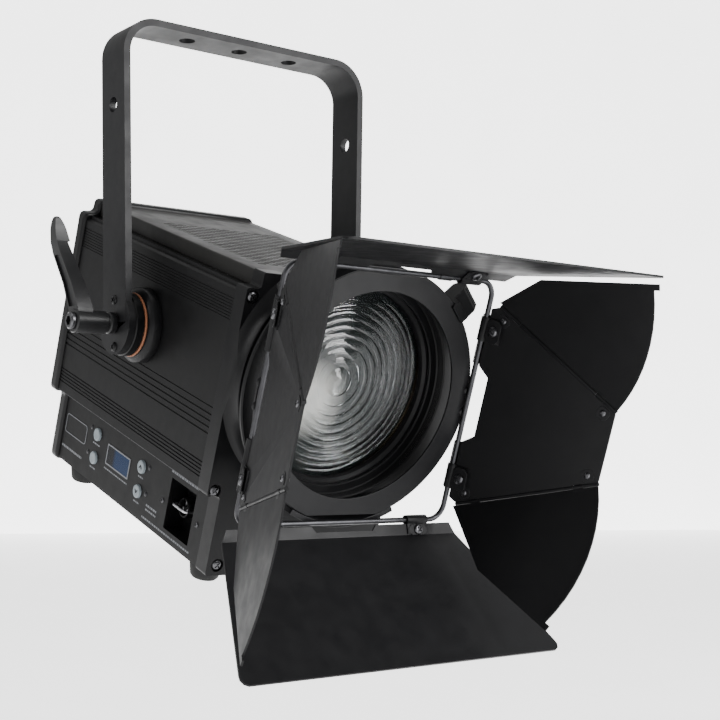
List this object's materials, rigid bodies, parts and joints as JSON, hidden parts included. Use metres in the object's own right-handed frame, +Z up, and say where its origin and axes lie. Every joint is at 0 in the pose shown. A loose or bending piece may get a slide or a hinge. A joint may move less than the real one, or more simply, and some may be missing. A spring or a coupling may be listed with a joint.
{
  "type": "fresnel spotlight",
  "caption": "LED stage fresnel with a flat-bar yoke, tilt clamp, ribbed body, stepped lens, and barn doors whose side leaves carry folding wings.",
  "frame": {"origin": "middle of the yoke's top face, at its centre hole, where the lamp hangs", "axes": "+Z up; the lens faces -Y and dips below it; +X runs from the clamp lever's side to the other"},
  "size_m": [0.2424, 0.4298, 0.4011],
  "materials": {
    "black_coat": "fine-textured black powder coat",
    "graphite_coat": "satin graphite coat on aluminium",
    "cast_coat": "fine-textured black coat on cast aluminium",
    "black_plastic": "moulded, fine grain",
    "zinc": "zinc-plated steel",
    "alloy": "bare machined alloy",
    "friction_orange": "orange-brown friction facing",
    "rubber": "matte moulded rubber",
    "lens_glass": "clear stepped glass",
    "keycap": "pale grey keycaps",
    "screen": "dark blue backlit display",
    "circuit": "circuit board with components",
    "emitter": "warm white emitter with its dome"
  },
  "bodies": {
    "yoke": {"yoke": "black_coat", "friction_disc_left": "black_plastic", "friction_disc_right": "black_plastic", "friction_washer_left": "friction_orange", "friction_washer_right": "friction_orange", "pivot_bolt_left": "zinc", "pivot_bolt_right": "zinc"},
    "clamp_lever": {"clamp_lever": "black_plastic"},
    "lamp_body": {"hub_left": "cast_coat", "hub_right": "cast_coat", "side_extrusion_left": "graphite_coat", "side_extrusion_right": "graphite_coat", "top_cover": "graphite_coat", "front_bezel": "cast_coat", "rear_bezel": "black_plastic", "rear_panel": "graphite_coat", "control_panel": "graphite_coat", "service_panel": "graphite_coat", "floor_plate": "graphite_coat", "foot_front_left": "rubber", "foot_front_right": "rubber", "foot_rear_left": "rubber", "foot_rear_right": "rubber", "display": "screen", "inlet_recess": "black_plastic", "mains_inlet": "black_plastic", "barrel": "cast_coat", "fresnel_lens": "lens_glass", "lens_retainer": "cast_coat", "accessory_clip_upper_left": "black_coat", "accessory_clip_lower_left": "black_coat", "accessory_shelf": "black_coat", "guide_rod_left": "zinc", "guide_rod_right": "zinc", "zoom_motor": "graphite_coat", "power_supply": "circuit"},
    "inlet_bail": {"inlet_bail": "zinc"},
    "accessory_latch": {"accessory_latch": "black_coat"},
    "barn_doors": {"door_ring": "black_coat", "door_frame": "zinc"},
    "zoom_carriage": {"zoom_carriage": "alloy", "led_engine": "emitter", "heat_sink": "alloy", "fan_frame": "black_plastic"},
    "fan_rotor": {"fan_rotor": "black_plastic"},
    "lead_screw": {"lead_screw": "zinc"},
    "button_up": {"button_up": "keycap"},
    "button_down": {"button_down": "keycap"},
    "button_menu": {"button_menu": "keycap"},
    "button_enter": {"button_enter": "keycap"},
    "leaf_top": {"leaf_top": "black_coat"},
    "leaf_bottom": {"leaf_bottom": "black_coat"},
    "leaf_left": {"leaf_left": "black_coat"},
    "leaf_right": {"leaf_right": "black_coat"},
    "wing_left_upper": {"wing_left_upper": "black_coat"},
    "wing_left_lower": {"wing_left_lower": "black_coat"},
    "wing_right_upper": {"wing_right_upper": "black_coat"},
    "wing_right_lower": {"wing_right_lower": "black_coat"}
  },
  "joints": [
    {"name": "tilt", "type": "hinge", "parent": "yoke", "child": "lamp_body", "pos_m": [0, 0, -0.1979], "axis": [1, 0, 0], "range_deg": [-50, 70]},
    {"name": "clamp_lever_turn", "type": "hinge", "parent": "yoke", "child": "clamp_lever", "pos_m": [-0.107, 0, -0.1979], "axis": [-1, 0, 0], "range_deg": [-35, 50]},
    {"name": "door_rotation", "type": "hinge", "parent": "lamp_body", "child": "barn_doors", "pos_m": [0, -0.14346, -0.24813], "axis": [0, 0.9421, 0.3355], "range_deg": [-10, 10]},
    {"name": "leaf_right_hinge", "type": "hinge", "parent": "barn_doors", "child": "leaf_right", "pos_m": [0.0776, -0.14393, -0.24905], "axis": [0, -0.3355, 0.9421], "range_deg": [-21, 60]},
    {"name": "wing_right_upper_hinge", "type": "hinge", "parent": "leaf_right", "child": "wing_right_upper", "pos_m": [0.08129, -0.17351, -0.19175], "axis": [0.3533, -0.6346, -0.6873], "range_deg": [-33.8, 41.2]},
    {"name": "wing_right_lower_hinge", "type": "hinge", "parent": "leaf_right", "child": "wing_right_lower", "pos_m": [0.08129, -0.13064, -0.31214], "axis": [-0.3533, 0.9262, -0.1316], "range_deg": [-48.6, 26.4]},
    {"name": "leaf_left_hinge", "type": "hinge", "parent": "barn_doors", "child": "leaf_left", "pos_m": [-0.0776, -0.14393, -0.24905], "axis": [0, 0.3355, -0.9421], "range_deg": [-21, 60]},
    {"name": "wing_left_upper_hinge", "type": "hinge", "parent": "leaf_left", "child": "wing_left_upper", "pos_m": [-0.08108, -0.1736, -0.19178], "axis": [0.333, 0.6425, 0.6901], "range_deg": [-18.7, 56.3]},
    {"name": "wing_left_lower_hinge", "type": "hinge", "parent": "leaf_left", "child": "wing_left_lower", "pos_m": [-0.08108, -0.13073, -0.31217], "axis": [-0.333, -0.9341, 0.1287], "range_deg": [-15.6, 59.4]},
    {"name": "leaf_top_hinge", "type": "hinge", "parent": "barn_doors", "child": "leaf_top", "pos_m": [0, -0.16996, -0.17594], "axis": [-1, 0, 0], "range_deg": [0, 56]},
    {"name": "leaf_bottom_hinge", "type": "hinge", "parent": "barn_doors", "child": "leaf_bottom", "pos_m": [0, -0.1179, -0.32215], "axis": [1, 0, 0], "range_deg": [-3, 50]},
    {"name": "button_up_press", "type": "slide", "parent": "lamp_body", "child": "button_up", "axis": [1, 0, 0], "range_m": [0, 0.0012], "stiffness_N_per_m": 500, "springref_m": -0.0003},
    {"name": "button_down_press", "type": "slide", "parent": "lamp_body", "child": "button_down", "axis": [1, 0, 0], "range_m": [0, 0.0012], "stiffness_N_per_m": 500, "springref_m": -0.0003},
    {"name": "button_menu_press", "type": "slide", "parent": "lamp_body", "child": "button_menu", "axis": [1, 0, 0], "range_m": [0, 0.0012], "stiffness_N_per_m": 500, "springref_m": -0.0003},
    {"name": "button_enter_press", "type": "slide", "parent": "lamp_body", "child": "button_enter", "axis": [1, 0, 0], "range_m": [0, 0.0012], "stiffness_N_per_m": 500, "springref_m": -0.0003},
    {"name": "inlet_bail_swing", "type": "hinge", "parent": "lamp_body", "child": "inlet_bail", "pos_m": [-0.051, -0.02557, -0.31464], "axis": [0, -0.9421, -0.3355], "range_deg": [-35, 30]},
    {"name": "accessory_latch_swing", "type": "hinge", "parent": "lamp_body", "child": "accessory_latch", "pos_m": [0.06505, -0.15304, -0.18249], "axis": [-0.7071, -0.2372, 0.6661], "range_deg": [0, 11], "stiffness_Nm_per_rad": 0.6},
    {"name": "zoom_travel", "type": "slide", "parent": "lamp_body", "child": "zoom_carriage", "axis": [0, -0.9421, -0.3355], "range_m": [-0.025, 0.045]},
    {"name": "lead_screw_spin", "type": "hinge", "parent": "lamp_body", "child": "lead_screw", "pos_m": [0.048, -0.01369, -0.15946], "axis": [0, -0.9421, -0.3355], "range_deg": [-451, 811]},
    {"name": "fan_spin", "type": "hinge", "parent": "zoom_carriage", "child": "fan_rotor", "pos_m": [0, 0.02611, -0.18775], "axis": [0, 0.9421, 0.3355], "continuous": true}
  ],
  "couplings": [
    {"joint": "lead_screw_spin", "follows": "zoom_travel", "rad_per_m": 314.16}
  ]
}
